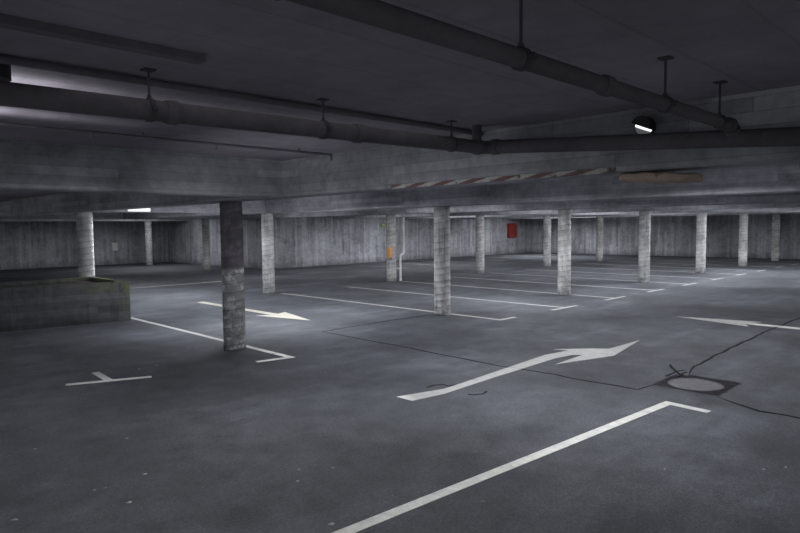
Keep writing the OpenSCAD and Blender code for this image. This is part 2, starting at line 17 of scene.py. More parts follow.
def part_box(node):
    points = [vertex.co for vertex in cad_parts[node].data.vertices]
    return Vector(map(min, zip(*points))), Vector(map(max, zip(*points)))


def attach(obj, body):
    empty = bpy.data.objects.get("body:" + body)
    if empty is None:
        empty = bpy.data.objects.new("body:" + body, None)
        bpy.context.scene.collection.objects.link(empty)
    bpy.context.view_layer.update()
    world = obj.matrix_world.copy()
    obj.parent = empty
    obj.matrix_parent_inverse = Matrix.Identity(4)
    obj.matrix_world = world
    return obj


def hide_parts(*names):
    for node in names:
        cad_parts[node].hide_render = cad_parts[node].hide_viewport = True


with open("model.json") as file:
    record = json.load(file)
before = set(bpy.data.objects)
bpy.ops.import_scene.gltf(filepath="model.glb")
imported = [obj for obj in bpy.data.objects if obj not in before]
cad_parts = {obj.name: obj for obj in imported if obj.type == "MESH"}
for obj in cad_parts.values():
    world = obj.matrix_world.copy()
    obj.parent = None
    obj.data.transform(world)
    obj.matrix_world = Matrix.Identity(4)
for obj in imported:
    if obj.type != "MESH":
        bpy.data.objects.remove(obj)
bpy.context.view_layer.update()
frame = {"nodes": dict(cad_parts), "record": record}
NODES = frame["nodes"]
SLOT_OF = {row["node"]: row["material_slot"] for row in frame["record"]["subparts"]}

# Levels of the storey in metres, and the middle of its plan as measured from the corner column
MID = np.array([19.4, 17.4, 0.0])
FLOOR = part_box("asphalt")[1].z
SOFFIT, DECK = (corner.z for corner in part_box("roof_slab"))
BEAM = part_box("deep_beam")[0].z
# The column grid in plan, half the width of a column and of a beam, and a full turn
BAY, NEAR_ROW, ROW_A, ROW_B = 5.24, -2.0, 9.28, 16.4
COLUMN_HALF = BEAM_HALF = 0.185
TURN = 2 * np.pi
print("nodes", len(NODES), "floor level", round(FLOOR, 3), "clear height", round(SOFFIT - FLOOR, 3))

# %% [markdown]
# ## Shapes as arrays
# Everything below is worked out on whole arrays. A grid of points becomes faces, a profile is turned round
# an axis, and one template is copied to many places at once.

# %% Tools for numpy surfaces
def at(x, y, z=0.0):
    """A place in plan, measured from the corner column, in the frame of the part."""
    return np.array([x, y, z]) - MID


def surface(points, uv=None, more=(), wrap_rows=False, wrap_cols=False):
    """A grid of points as (points, triangles), and with uv the own coordinates of the triangles' corners. A
    quad is a point, its neighbour and both of the next row; more holds further quads. Points at one place
    are merged, and triangles that collapse are dropped."""
    rows, cols = points.shape[:2]
    r = np.arange(rows if wrap_rows else rows - 1)[:, None]
    c = np.arange(cols if wrap_cols else cols - 1)
    r2, c2 = (r + 1) % rows, (c + 1) % cols
    quads = np.stack([r * cols + c, r * cols + c2, r2 * cols + c2, r2 * cols + c], -1)
    quads = np.concatenate([quads.reshape(-1, 4), *more])
    tris = np.concatenate([quads[:, [0, 1, 2]], quads[:, [0, 2, 3]]])
    points = points.reshape(-1, 3)
    _, first, inverse = np.unique(np.round(points, 6), axis=0, return_index=True, return_inverse=True)
    merged = inverse.reshape(-1)[tris]
    keep = (merged != np.roll(merged, 1, 1)).all(1)
    part = points[first], merged[keep]
    return part if uv is None else (*part, uv.reshape(-1, 2)[tris[keep]])


def closed(rings):
    """Rings of points in a row, with the first and the last closed on their middle."""
    ends = [np.broadcast_to(ring.mean(0), (1, *ring.shape)) for ring in (rings[0], rings[-1])]
    return surface(np.concatenate([ends[0], rings, ends[1]]), wrap_cols=True)


def skirted(points, level):
    """A height field whose border drops to a level and is closed there on a point in the middle."""
    middle = points[..., :2].mean((0, 1))
    border = np.pad(np.zeros(points.shape[:2]), 1, constant_values=1)
    border = np.pad(border, 1, constant_values=2)
    points = np.pad(points, ((2, 2), (2, 2), (0, 0)), mode="edge")
    points[border > 0, 2] = level
    points[border > 1] = (*middle, level)
    return surface(points)


def lathe(profile, steps=24):
    """A profile of (radius, height) turned round Z: x is radius times cosine, y is radius times sine."""
    radius, height = np.asarray(profile, float).T[..., None]
    turn = np.arange(steps) * TURN / steps
    points = np.broadcast_arrays(radius * np.cos(turn), radius * np.sin(turn), height)
    return surface(np.stack(points, -1), wrap_cols=True)


def copies(part, places, turns=0.0, sizes=1.0):
    """One template at many places, each copy scaled, turned round Z and moved to its place."""
    (points, faces), places = part, np.asarray(places, float)
    turns, sizes = (np.broadcast_to(v, len(places))[:, None] for v in (turns, sizes))
    x, y, z = points.T
    c, s = np.cos(turns), np.sin(turns)
    out = np.stack(np.broadcast_arrays(c * x - s * y, s * x + c * y, z), -1)
    out = out * sizes[..., None] + places[:, None]
    shift = np.arange(len(places))[:, None, None] * len(points)
    return out.reshape(-1, 3), (faces[None] + shift).reshape(-1, 3)


def joined(*parts):
    """Several parts as one pair of arrays, with the faces of each shifted past the points before it."""
    starts = np.cumsum([0] + [len(p) for p, _ in parts[:-1]])
    faces = [f + start for (_, f), start in zip(parts, starts)]
    return np.concatenate([p for p, _ in parts]), np.concatenate(faces)


def linked(name, data):
    """A new object in the scene for a mesh, a light or a camera."""
    obj = bpy.data.objects.new(name, data)
    bpy.context.scene.collection.objects.link(obj)
    return obj


def piece(name, part, slot, uv=None, smooth=True, layer="tube", finish=None):
    """Puts arrays into a mesh, turns its faces outwards, and lets it ride on the storey."""
    points, faces = part
    mesh = bpy.data.meshes.new(name)
    mesh.from_pydata(points.tolist(), [], faces.tolist())
    if uv is not None:
        mesh.uv_layers.new(name=layer).data.foreach_set("uv", uv.ravel().astype(np.float32))
    bm = bmesh.new()
    bm.from_mesh(mesh)
    bmesh.ops.recalc_face_normals(bm, faces=bm.faces)
    bm.to_mesh(mesh)
    bm.free()
    mesh.polygons.foreach_set("use_smooth", np.full(len(mesh.polygons), smooth))
    mesh.update()
    mesh.materials.append(bpy.data.materials[finish or slot])
    obj = linked(name, mesh)
    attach(obj, "root")
    print(f"{name}: {len(mesh.polygons)} faces")
    return obj

# %% [markdown]
# ## Shader groups
# The same few effects make most of the finishes: blotches of damp and dust, marks of boards, runs of dirty
# water, and paint that wears off. Each is a node group, built once.

# %% Helpers for node trees
class Net:
    """A node tree with short calls that add a node and return its output."""

    def __init__(self, tree):
        self.tree = tree

    def put(self, socket, value):
        """Links a socket, or sets its plain value; a colour is given as three numbers."""
        if isinstance(value, bpy.types.NodeSocket):
            self.tree.links.new(value, socket)
        else:
            value = tuple(value) if np.ndim(value) else value
            socket.default_value = (*value, 1.0) if socket.type == "RGBA" else value

    def node(self, kind, inputs=(), **settings):
        """The outputs of a new node, with its settings, and its inputs given by name or by number."""
        n = self.tree.nodes.new(kind)
        for key, value in settings.items():
            setattr(n, key, value)
        for key, value in dict(inputs).items():
            self.put(n.inputs[key], value)
        return n.outputs

    def use(self, group, **inputs):
        """The outputs of a node group."""
        return self.node("ShaderNodeGroup", inputs, node_tree=bpy.data.node_groups[group])

    def math(self, op, *values, clamp=False):
        return self.node("ShaderNodeMath", enumerate(values), operation=op, use_clamp=clamp)[0]

    def chain(self, op, total, *others):
        """Any number of values, joined by one operation."""
        for value in others:
            total = self.math(op, total, value)
        return total

    add, mul = partialmethod(chain, "ADD"), partialmethod(chain, "MULTIPLY")
    sub, div = partialmethod(chain, "SUBTRACT"), partialmethod(chain, "DIVIDE")
    least, most = partialmethod(chain, "MINIMUM"), partialmethod(chain, "MAXIMUM")
    whole, rest = partialmethod(math, "FLOOR"), partialmethod(math, "FRACT")

    def step(self, value, low, high, to_low=0.0, to_high=1.0):
        """A straight ramp, held flat outside its ends. It falls where high is below low."""
        inputs = enumerate((value, low, high, to_low, to_high))
        return self.node("ShaderNodeMapRange", inputs, clamp=True)[0]

    def ramp(self, mask, at_0, at_1):
        """A value that goes with a mask."""
        return self.step(mask, 0.0, 1.0, at_0, at_1)

    def tones(self, *parts):
        """Multiplies together ramps, each given as (mask, tone at 0, tone at 1)."""
        return self.mul(*(self.ramp(*part) for part in parts))

    def noise(self, where, scale, detail, rough):
        inputs = {"Vector": where, "Scale": scale, "Detail": detail, "Roughness": rough}
        return self.node("ShaderNodeTexNoise", inputs)[0]

    def voronoi(self, where, scale):
        return self.node("ShaderNodeTexVoronoi", {"Vector": where, "Scale": scale})

    def cell(self, value):
        """A random value for each number, the same for the same number."""
        return self.node("ShaderNodeTexWhiteNoise", {"W": value}, noise_dimensions="1D")[0]

    def line(self, value, width):
        """1 on each whole number of value, falling to 0 at a width from it."""
        rest = self.rest(value)
        return self.step(self.least(rest, self.sub(1.0, rest)), width, 0.0)

    def mix(self, amount, a, b):
        """Colour a where amount is 0 and colour b where it is 1."""
        return self.node("ShaderNodeMix", {0: amount, 6: a, 7: b}, data_type="RGBA")[2]

    def shade(self, colour, value):
        """A colour made darker or lighter by a value round 1."""
        return self.node("ShaderNodeVectorMath", {0: colour, "Scale": value}, operation="SCALE")[0]

    def stretch(self, where, *factors):
        return self.node("ShaderNodeVectorMath", enumerate((where, factors)), operation="MULTIPLY")[0]

    def split(self, where):
        return self.node("ShaderNodeSeparateXYZ", {0: where})

    def own(self, layer):
        """The second of a mesh's own coordinates."""
        return self.split(self.node("ShaderNodeUVMap", uv_map=layer)[0])[1]


def group(name, inputs, outputs):
    """A new node group with its sockets, as (net, input sockets by name, sockets of the output node)."""
    tree = bpy.data.node_groups.new(name, "ShaderNodeTree")
    for label, default in inputs.items():
        kind = "NodeSocketVector" if isinstance(default, tuple) else "NodeSocketFloat"
        tree.interface.new_socket(label, in_out="INPUT", socket_type=kind).default_value = default
    for label in outputs:
        tree.interface.new_socket(label, in_out="OUTPUT", socket_type="NodeSocketFloat")
    return Net(tree), tree.nodes.new("NodeGroupInput").outputs, tree.nodes.new("NodeGroupOutput").inputs

# %% [markdown]
# **Weather** gives three masks: wide blotches of damp and dust, small mottling, and the fine grain of sand
# and pores. All concrete, asphalt and metal use it, so the whole storey looks the same age.

# %% Weather
ORIGIN = (0.0, 0.0, 0.0)
net, i, o = group("weather", {"Where": ORIGIN, "Wide": 0.5, "Small": 6.0, "Grain": 160.0},
                  ["Blotch", "Mottle", "Sand"])
net.put(o["Blotch"], net.step(net.noise(i["Where"], i["Wide"], 4.0, 0.6), 0.34, 0.66))
net.put(o["Mottle"], net.step(net.noise(i["Where"], i["Small"], 5.0, 0.65), 0.3, 0.7))
net.put(o["Sand"], net.step(net.noise(i["Where"], i["Grain"], 2.0, 0.7), 0.25, 0.75))

# %% [markdown]
# **Boards** is the print of the formwork. Rough boards leave a thin fin at each joint, and no two boards
# soak up the same water, so each gets its own tone and stands a hair higher or lower than its neighbour.

# %% Boards
net, i, o = group("boards", {"Along": 0.0, "Across": 0.0, "Width": 0.12, "Length": 2.6},
                  ["Joint", "Tone", "Relief"])
row = net.div(i["Across"], i["Width"])
row_id = net.whole(row)
along = net.add(net.div(i["Along"], i["Length"]), net.cell(row_id))
tone = net.cell(net.add(net.mul(row_id, 7.31), net.whole(along)))
joint = net.most(net.line(row, 0.035), net.mul(net.line(along, 0.002), 0.8))
fibre = enumerate((net.mul(i["Along"], 1.6), net.mul(i["Across"], 55.0), tone))
grain = net.noise(net.node("ShaderNodeCombineXYZ", fibre)[0], 1.0, 3.0, 0.6)
net.put(o["Joint"], joint)
net.put(o["Tone"], tone)
net.put(o["Relief"], net.sub(net.add(net.mul(tone, 0.5), net.mul(grain, 0.35)), net.mul(joint, 0.35)))

# %% [markdown]
# **Runs** are the long dark and pale tracks that dirty water leaves on an upright face. They are noise
# drawn out in height and cut by a slower noise, so they come in families and fade out.

# %% Runs
net, i, o = group("runs", {"Where": ORIGIN, "Fineness": 9.0, "Cover": 0.5}, ["Mask"])
streak = net.noise(net.stretch(i["Where"], 1.0, 1.0, 0.07), i["Fineness"], 4.0, 0.6)
cut = net.sub(0.78, net.mul(i["Cover"], 0.4))
family = net.step(net.noise(i["Where"], 0.9, 2.0, 0.5), 0.38, 0.62)
net.put(o["Mask"], net.mul(net.step(streak, cut, net.add(cut, 0.12)), family))

# %% [markdown]
# **Worn** is where a coat has gone. Broad noise says which places wear most, fine noise frays their edges.

# %% Worn
net, i, o = group("worn", {"Where": ORIGIN, "Size": 5.0, "Amount": 0.4}, ["Bare", "Thin"])
broad = net.noise(i["Where"], i["Size"], 4.0, 0.7)
fine = net.noise(i["Where"], net.mul(i["Size"], 18.0), 3.0, 0.7)
wear = net.add(net.mul(broad, 0.72), net.mul(fine, 0.28))
edge = net.sub(0.72, net.mul(i["Amount"], 0.42))
net.put(o["Bare"], net.step(wear, edge, net.add(edge, 0.04)))
net.put(o["Thin"], net.step(wear, net.sub(edge, 0.12), edge))
print("groups", [g.name for g in bpy.data.node_groups])

# %% [markdown]
# ## Finishes
# Each slot of the record gets one material. The colours are the real ones, under plain light. A class makes
# the material with its constant values on the shader itself, and is the net to draw on.

# %% Material helper
# SOOT_AND_SHADE_TINT tints the soot under the slab and the painted shade on the lone column
COOL, SOOT_AND_SHADE_TINT = np.array([0.955, 0.985, 1.1]), np.array([1.0, 0.93, 1.12])
DUST, MOSS, TAR = (0.2, 0.195, 0.19), (0.085, 0.11, 0.038), (0.013, 0.0125, 0.016)


class Finish(Net):
    """The net of one slot's material: its shader's inputs, the place in object coordinates, how far a face
    looks up, and the three masks of the weather group at the given sizes."""

    def __init__(self, slot, weather, roughness, metallic=0.0, specular=0.4, coat=0.0):
        material = bpy.data.materials.get(slot) or bpy.data.materials.new(slot)
        material.use_nodes = True
        super().__init__(material.node_tree)
        self.shader = self.tree.nodes["Principled BSDF"].inputs
        for key, value in {"Roughness": roughness, "Metallic": metallic, "Specular IOR Level": specular,
                           "Coat Weight": coat}.items():
            self.shader[key].default_value = value
        self.where = self.node("ShaderNodeTexCoord")["Object"]
        self.x, self.y, self.z = self.split(self.where)
        self.facing = self.split(self.node("ShaderNodeNewGeometry")["True Normal"])[2]
        wide, small, grain = weather
        masks = self.use("weather", Where=self.where, Wide=wide, Small=small, Grain=grain)
        self.blotch, self.mottle, self.sand = masks

    def runs(self, fineness, cover):
        return self.use("runs", Where=self.where, Fineness=fineness, Cover=cover)["Mask"]

    def worn(self, size, amount):
        """The masks of bare places and of thin ones."""
        return self.use("worn", Where=self.where, Size=size, Amount=amount)

    def past(self, axis, start, end):
        """A mask that goes from 0 at start to 1 at end in plan, along X (axis 0) or Y (axis 1)."""
        return self.step((self.x, self.y)[axis], start - MID[axis], end - MID[axis])

    def glow(self, colour, strength):
        self.put(self.shader["Emission Color"], colour)
        self.shader["Emission Strength"].default_value = strength

    def finish(self, colour, rough, height, depth):
        """Links the colour, a roughness as (mask, value at 0, value at 1), and a height over depth."""
        self.put(self.shader["Base Color"], colour)
        self.put(self.shader["Roughness"], self.ramp(*rough))
        bump = self.node("ShaderNodeBump", {"Distance": depth, "Height": height})[0]
        self.put(self.shader["Normal"], bump)

# %% [markdown]
# **Concrete** is never one grey. The binder dries in blotches, fine sand and pores show close up, soot
# settles on the slab's underside and the feet of walls and columns take splashed dirt. It was cast against
# rough boards, level ones for the beams and upright ones for the walls.

# %% Concrete finishes
def concrete(slot, value, board, runs, upright=False, length=2.6, boards=(0.8, 1.2), blotch=(0.7, 1.2),
             foot=0.72, moss=0.0):
    """Board-marked concrete on the upright faces of a node, plain trowelled concrete on level ones."""
    net = Finish(slot, (0.55, 7.0, 190.0), 0.86, specular=0.3)
    sides = net.step(net.math("ABSOLUTE", net.facing), 0.7, 0.5)
    sideways = net.add(net.x, net.y)
    along, across = (net.z, sideways) if upright else (sideways, net.z)
    joint, tone, relief = net.use("boards", Along=along, Across=across, Width=board, Length=length)
    stain = net.step(net.noise(net.stretch(net.where, 1.0, 1.0, 1.6), 1.9, 5.0, 0.68), 0.5, 0.68)
    pit = net.mul(net.step(net.voronoi(net.where, 26.0)["Distance"], 0.12, 0.05),
                  net.step(net.mottle, 0.45, 0.75, 0.0, 0.5))
    run, tone, joint = (net.mul(mask, sides) for mask in (net.runs(11.0, runs), tone, joint))
    tone = net.tones(
        (tone, *boards), (net.blotch, *blotch), (net.mottle, 0.78, 1.14), (net.sand, 0.88, 1.08),
        (joint, 1.0, 0.6), (run, 1.0, 0.6), (pit, 1.0, 0.45), (stain, 1.0, 0.74))
    tone = net.mul(tone, net.step(net.z, FLOOR, FLOOR + 0.35, foot, 1.0))
    colour = net.shade(value * COOL, tone)
    if moss:
        lump = net.step(net.noise(net.where, 4.0, 4.0, 0.7), 0.45, 0.62)
        high = net.step(net.z, FLOOR + 0.3, FLOOR + 0.86)
        damp = net.add(high, net.ramp(net.past(0, 4.2, 5.3), -0.8, 0.25))
        colour = net.mix(net.mul(lump, net.math("MULTIPLY", damp, moss, clamp=True)), colour, MOSS)
    height = net.sub(net.add(net.mul(relief, sides), net.mul(net.sand, 0.12)), net.mul(pit, 0.8))
    net.finish(colour, (net.mottle, 0.78, 0.95), height, 0.004)


concrete("beam_concrete", 0.36, 0.105, 0.35, blotch=(0.66, 1.22))
concrete("wall_concrete", 0.33, 0.145, 0.6, upright=True, length=2.45, boards=(0.76, 1.2), foot=0.6)
concrete("planter_concrete", 0.066, 0.14, 0.75, boards=(0.75, 1.25), moss=0.9)


def slab_concrete():
    """Sooty panelled concrete below, sheeting with laps on the deck, board marks at the edges."""
    net = Finish("slab_concrete", (0.35, 5.0, 170.0), 0.88, specular=0.3)
    up, down = net.step(net.facing, 0.5, 0.7), net.step(net.facing, -0.5, -0.7)
    side = net.sub(1.0, net.most(up, down))
    panel = net.use("boards", Along=net.x, Across=net.y, Width=0.5, Length=2.5)
    edge = net.use("boards", Along=net.add(net.x, net.y), Across=net.z, Width=0.14, Length=2.6)
    # The sheets on the deck are 1 m wide and 7.5 m long
    ends = net.line(net.add(net.div(net.y, 7.5), net.cell(net.whole(net.x))), 0.0016)
    lap = net.mul(net.most(net.line(net.x, 0.012), ends), up)
    run = net.mul(net.runs(8.0, 0.7), side)
    seam = net.mul(panel["Joint"], down)
    pond = net.mul(net.step(net.noise(net.where, 0.45, 3.0, 0.5), 0.46, 0.66), up)
    tone = net.tones(
        (net.blotch, 0.76, 1.14), (net.mottle, 0.86, 1.1), (net.sand, 0.93, 1.05), (seam, 1.0, 0.85),
        (panel["Tone"], 0.95, 1.05), (net.mul(edge["Joint"], side), 1.0, 0.66),
        (net.most(run, lap), 1.0, 0.6), (pond, 1.0, 0.84))
    below = net.mix(down, 0.33 * COOL, 0.26 * SOOT_AND_SHADE_TINT)
    colour = net.mix(up, below, 0.27 * np.array([1.0, 1.01, 1.03]))
    height = net.add(net.mul(seam, -0.4), net.mul(net.sand, 0.15), net.mul(lap, 0.8))
    net.finish(net.shade(colour, tone), (pond, 0.9, 0.6), height, 0.004)


slab_concrete()

# %% [markdown]
# **Columns** were cast in spiral paper tubes. The strip's edge leaves a low seam that climbs round the
# column, one turn every 145 mm. The seams hold dirt, the strips between them differ a little, and damp
# rises at the foot. The column that stands alone at the aisle is painted darker all over, and darker still
# above
# chest height: painted shade, where that column stands in shadow. Below that line it has stained concrete.

# %% Column finish
PITCH = 0.145


def column_concrete():
    """Concrete with seams along the tube's own coordinate, which rises by one pitch each turn; the lone
    column gets painted shade.
    """
    net = Finish("column_concrete", (1.6, 9.0, 220.0), 0.8, specular=0.35)
    turns = net.div(net.own("tube"), PITCH)
    cx, cy = net.sub(net.x, BAY - MID[0]), net.sub(net.y, ROW_A - MID[1])
    alone = net.step(net.add(net.mul(cx, cx), net.mul(cy, cy)), 0.4, 0.3)
    # Painted shade: the lone column is painted dark above chest height, with a mottled edge, and its seams
    # fade there
    edge = net.add(net.z, net.ramp(net.mottle, -0.02, 0.02))
    painted_shade = net.mul(alone, net.step(edge, FLOOR + 1.32, FLOOR + 1.36))
    bare = net.ramp(painted_shade, 1.0, 0.4)
    seam = net.mul(net.line(turns, 0.075), bare)
    bloom = net.mul(alone, net.step(net.noise(net.where, 6.0, 5.0, 0.7), 0.5, 0.62), bare)
    foot = net.add(net.z, net.ramp(net.mottle, -0.12, 0.12))
    # The lone column is also painted darker all over by (alone, 1.0, 0.56): painted shade
    tone = net.tones(
        (net.blotch, 0.62, 1.16), (net.mottle, 0.74, 1.16), (net.sand, 0.88, 1.08), (seam, 1.0, 0.55),
        (net.cell(net.whole(turns)), 0.88, 1.1), (net.runs(16.0, 0.6), 1.0, 0.6), (alone, 1.0, 0.56),
        (bloom, 1.0, 2.2), (painted_shade, 1.0, 0.47))
    tone = net.mul(tone, net.step(foot, FLOOR, FLOOR + 0.3, 0.55, 1.0))
    colour = net.mix(painted_shade, 0.38 * np.array([0.98, 1.0, 1.04]), 0.4 * SOOT_AND_SHADE_TINT)
    height = net.add(net.mul(seam, 0.5), net.mul(net.sand, 0.12), net.mul(net.mottle, 0.3))
    net.finish(net.shade(colour, tone), (net.mottle, 0.7, 0.92), height, 0.003)


column_concrete()

# %% [markdown]
# **Asphalt** is stone grit in tar. Tyres polish the lanes and bays a little paler, oil darkens the places
# where engines stand, and the surface is scuffed in short arcs. Where a frame was set into it later, the
# hole round the frame was filled with tar, which ran out a little at the corners.

# %% Asphalt
HOLE = np.array([[7.594, 3.217], [8.404, 3.082], [8.411, 2.443], [7.549, 2.479]])


def asphalt():
    """Fine grit, worn patches, oil spots, scuffs, and tar inside the four slanted sides of the hole."""
    net = Finish("asphalt", (0.42, 2.6, 130.0), 0.75, specular=0.5)
    stone = net.split(net.voronoi(net.where, 95.0)["Color"])[0]
    lanes = net.noise(net.stretch(net.where, 0.25, 1.3, 1.0), 1.1, 3.0, 0.6)
    polish = net.mul(net.step(lanes, 0.45, 0.7), net.step(net.blotch, 0.2, 0.9))
    oil = net.step(net.noise(net.where, 1.3, 4.0, 0.6), 0.6, 0.74)
    scuff = net.step(net.noise(net.stretch(net.where, 1.0, 5.0, 1.0), 1.7, 4.0, 0.7), 0.6, 0.7)
    fray = net.step(net.noise(net.where, 9.0, 3.0, 0.6), 0.3, 0.7, -0.03, 0.03)
    inside = []
    for (x0, y0), (x1, y1) in zip(HOLE - MID[:2], np.roll(HOLE, -1, 0) - MID[:2]):
        long = math.hypot(x1 - x0, y1 - y0)
        nx, ny = (y1 - y0) / long, -(x1 - x0) / long
        inside.append(net.add(net.mul(net.x, nx), net.mul(net.y, ny), -nx * x0 - ny * y0))
    tar = net.step(net.add(net.least(*inside), fray), -0.01, 0.01)
    tone = net.tones(
        (stone, 0.72, 1.3), (net.blotch, 0.72, 1.23), (net.mottle, 0.72, 1.22), (polish, 1.0, 1.26),
        (oil, 1.0, 0.66), (scuff, 1.0, 1.2))
    colour = net.mix(tar, net.shade(0.061 * np.array([0.922, 1.0, 1.185]), tone), TAR)
    net.finish(colour, (polish, 0.78, 0.56), net.add(net.mul(stone, 0.3), net.mul(net.sand, 0.4)), 0.002)


asphalt()

# %% [markdown]
# **Road paint** wears to bare asphalt where tyres turn on it, and the rest goes grey with dirt. The arrow
# at the far left is from an older, cream paint.

# %% Road paint
FRESH, DRIVEN, LANE = (0.57, 0.575, 0.565), (0.31, 0.315, 0.315), (0.33, 0.335, 0.335)
CREAM, THIN, BARE = (0.33, 0.32, 0.28), (0.24, 0.25, 0.27), (0.09, 0.094, 0.106)


def road_paint():
    """Paint over asphalt, mixed by the worn group: fresh in the bays near the eye, greyer on the aisle and
    past a slanted line, and cream inside a box round the older arrow."""
    net = Finish("road_paint", (0.8, 12.0, 150.0), 0.7, specular=0.4)
    bare, thin = net.worn(3.2, 0.24)
    slant = net.sub(net.sub(net.x, net.mul(net.y, 0.5)), 2.45 - MID[0] + 0.5 * MID[1])
    paint = net.mix(net.mul(net.past(1, 3.7, 3.9), net.step(slant, 0.0, 0.2)), FRESH, DRIVEN)
    paint = net.mix(net.mul(net.past(1, 8.6, 8.9), net.past(0, 11.0, 10.0)), paint, LANE)
    old = net.mul(net.past(0, 7.4, 7.5), net.past(0, 8.9, 8.8), net.past(1, 10.4, 10.5))
    tone = net.tones((net.mottle, 0.78, 1.06), (net.blotch, 0.85, 1.05), (net.sand, 0.92, 1.04))
    paint = net.shade(net.mix(old, paint, CREAM), tone)
    colour = net.mix(net.mul(bare, 0.85), net.mix(net.mul(thin, 0.5), paint, THIN), BARE)
    net.finish(colour, (bare, 0.62, 0.85), net.sub(net.mul(net.sand, 0.3), bare), 0.0015)


road_paint()

# %% [markdown]
# **Metals, plastics and soil.** Cast iron pipes carry black paint gone dull under dust, hangers are dark
# and rust at the nuts, plastics yellow and collect grime on top.

# %% Small finishes
def coated(slot, colour, under, roughness, metallic=0.0, wear=0.1, size=9.0, dust=0.3, bump=0.0008,
           under_metal=0.0, specular=0.4):
    """A coat over its base, worn in places, with dust on faces that look up."""
    net = Finish(slot, (1.8, 14.0, 260.0), roughness, metallic, specular)
    bare = net.worn(size, wear)["Bare"]
    painted = net.shade(colour, net.tones((net.blotch, 0.8, 1.14), (net.mottle, 0.84, 1.1)))
    settled = net.mul(net.step(net.facing, 0.3, 0.9), net.ramp(net.mottle, dust * 0.6, dust))
    if under_metal:
        net.put(net.shader["Metallic"], net.ramp(bare, metallic, under_metal))
    colour = net.mix(settled, net.mix(bare, painted, under), DUST)
    rough = (net.mottle, roughness, min(1.0, roughness + 0.2))
    net.finish(colour, rough, net.sub(net.mul(net.sand, 0.5), bare), bump)


coated("drain_iron", (0.103, 0.096, 0.109), (0.07, 0.055, 0.05), 0.8, wear=0.08, dust=0.02, specular=0.12)
coated("hanger_steel", (0.08, 0.074, 0.084), (0.06, 0.04, 0.03), 0.7, 0.2, wear=0.2, dust=0.04,
       under_metal=0.05, specular=0.15)
coated("pale_plastic", (0.56, 0.57, 0.575), (0.36, 0.36, 0.35), 0.45, dust=0.5)
coated("red_paint", (0.22, 0.034, 0.03), (0.16, 0.15, 0.15), 0.38)
coated("tray_metal", (0.15, 0.142, 0.166), (0.17, 0.14, 0.13), 0.7, wear=0.12, dust=0.1, specular=0.2)
coated("downpipe_plastic", (0.5, 0.52, 0.53), (0.3, 0.31, 0.3), 0.5, wear=0.12)
coated("lamp_body", (0.03, 0.029, 0.034), (0.07, 0.07, 0.075), 0.5, dust=0.1)
coated("manhole_iron", (0.032, 0.03, 0.036), (0.07, 0.045, 0.035), 0.55, 0.4, wear=0.3, dust=0.0)
coated("cover_infill", (0.106, 0.105, 0.12), (0.13, 0.125, 0.145), 0.85, wear=0.35, dust=0.0, bump=0.002)
coated("orange_paint", (0.56, 0.29, 0.12), (0.2, 0.19, 0.18), 0.4)
coated("yellow_foam", (0.37, 0.295, 0.245), (0.17, 0.145, 0.13), 0.8, wear=0.35, size=14.0, specular=0.2)
coated("soil", (0.03, 0.028, 0.024), (0.05, 0.046, 0.04), 0.95, wear=0.4, dust=0.05, bump=0.006)
coated("tar", (0.012, 0.0115, 0.0145), (0.03, 0.03, 0.034), 0.75, wear=0.15, dust=0.02, bump=0.002,
       specular=0.2)
coated("litter", (0.3, 0.3, 0.29), (0.1, 0.085, 0.06), 0.9, wear=0.5, size=4.0, dust=0.2, bump=0.001)


def stripes():
    """Slanted bands by the place along the strip plus 4.3 times its height: red, then white, worn."""
    net = Finish("warning_stripes", (1.5, 18.0, 200.0), 0.6)
    slant = net.div(net.add(net.mul(net.z, 4.3), net.y), 0.4)
    red = net.step(net.rest(slant), 0.5, 0.51)
    colour = net.shade(net.mix(red, (0.41, 0.41, 0.415), (0.165, 0.1, 0.1)), net.ramp(net.mottle, 0.7, 1.1))
    colour = net.mix(net.worn(8.0, 0.4)["Bare"], colour, (0.1, 0.08, 0.08))
    net.finish(colour, (net.mottle, 0.5, 0.75), net.sand, 0.0008)


def lit(slot, colour, strength, dim_below=None):
    """A cover that glows from inside, less where dust lies; with dim_below, the glow falls with the bowl's
    depth under its hood, which its own coordinate gives."""
    net = Finish(slot, (3.0, 20.0, 120.0), 0.3, coat=0.2)
    cover = glow = net.shade(colour, net.ramp(net.mottle, 0.85, 1.0))
    if dim_below:
        cover = net.shade(glow, 0.4)
        glow = net.shade(glow, net.step(net.own("bowl"), *dim_below, 1.0, 0.04))
    net.glow(glow, strength)
    net.finish(cover, (net.mottle, 0.25, 0.4), net.sand, 0.0004)


def sign_face():
    """A lit green face with a white arrow: a bar and a head, bounds on the height by the place along X."""
    net = Finish("sign_green", (3.0, 20.0, 120.0), 0.3, coat=0.2)
    low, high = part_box("exit_sign")
    u = net.div(net.sub(net.x, low.x), high.x - low.x)
    v = net.math("ABSOLUTE", net.div(net.sub(net.z, (low.z + high.z) / 2), high.z - low.z))
    bar = net.mul(net.step(v, 0.1, 0.09), net.step(u, 0.39, 0.4), net.step(u, 0.86, 0.85))
    head = net.mul(net.math("LESS_THAN", v, net.mul(net.sub(u, 0.14), 1.1)), net.step(u, 0.41, 0.4))
    face = net.mix(net.most(bar, head), (0.08, 0.17, 0.035), (0.36, 0.42, 0.3))
    face = net.shade(face, net.ramp(net.mottle, 0.88, 1.0))
    net.glow(face, 0.3)
    net.finish(face, (net.mottle, 0.25, 0.4), net.sand, 0.0002)


GLASS = (0.85, 0.87, 0.88)
stripes()
lit("lamp_glass", GLASS, 1.2)
lit("lamp_bowl", GLASS, 1.6, dim_below=(0.2, 0.34))
sign_face()
for name, node in NODES.items():
    node.data.materials.clear()
    node.data.materials.append(bpy.data.materials[SLOT_OF[name]])
print("finishes", len(set(SLOT_OF.values())))

# %% [markdown]
# ## Columns with spiral seams
# A plain cylinder misses what makes these columns: the tube's seam. Each is a surface on two parameters,
# the angle and a row along the seam, so that the rows climb with it and four a turn are enough.

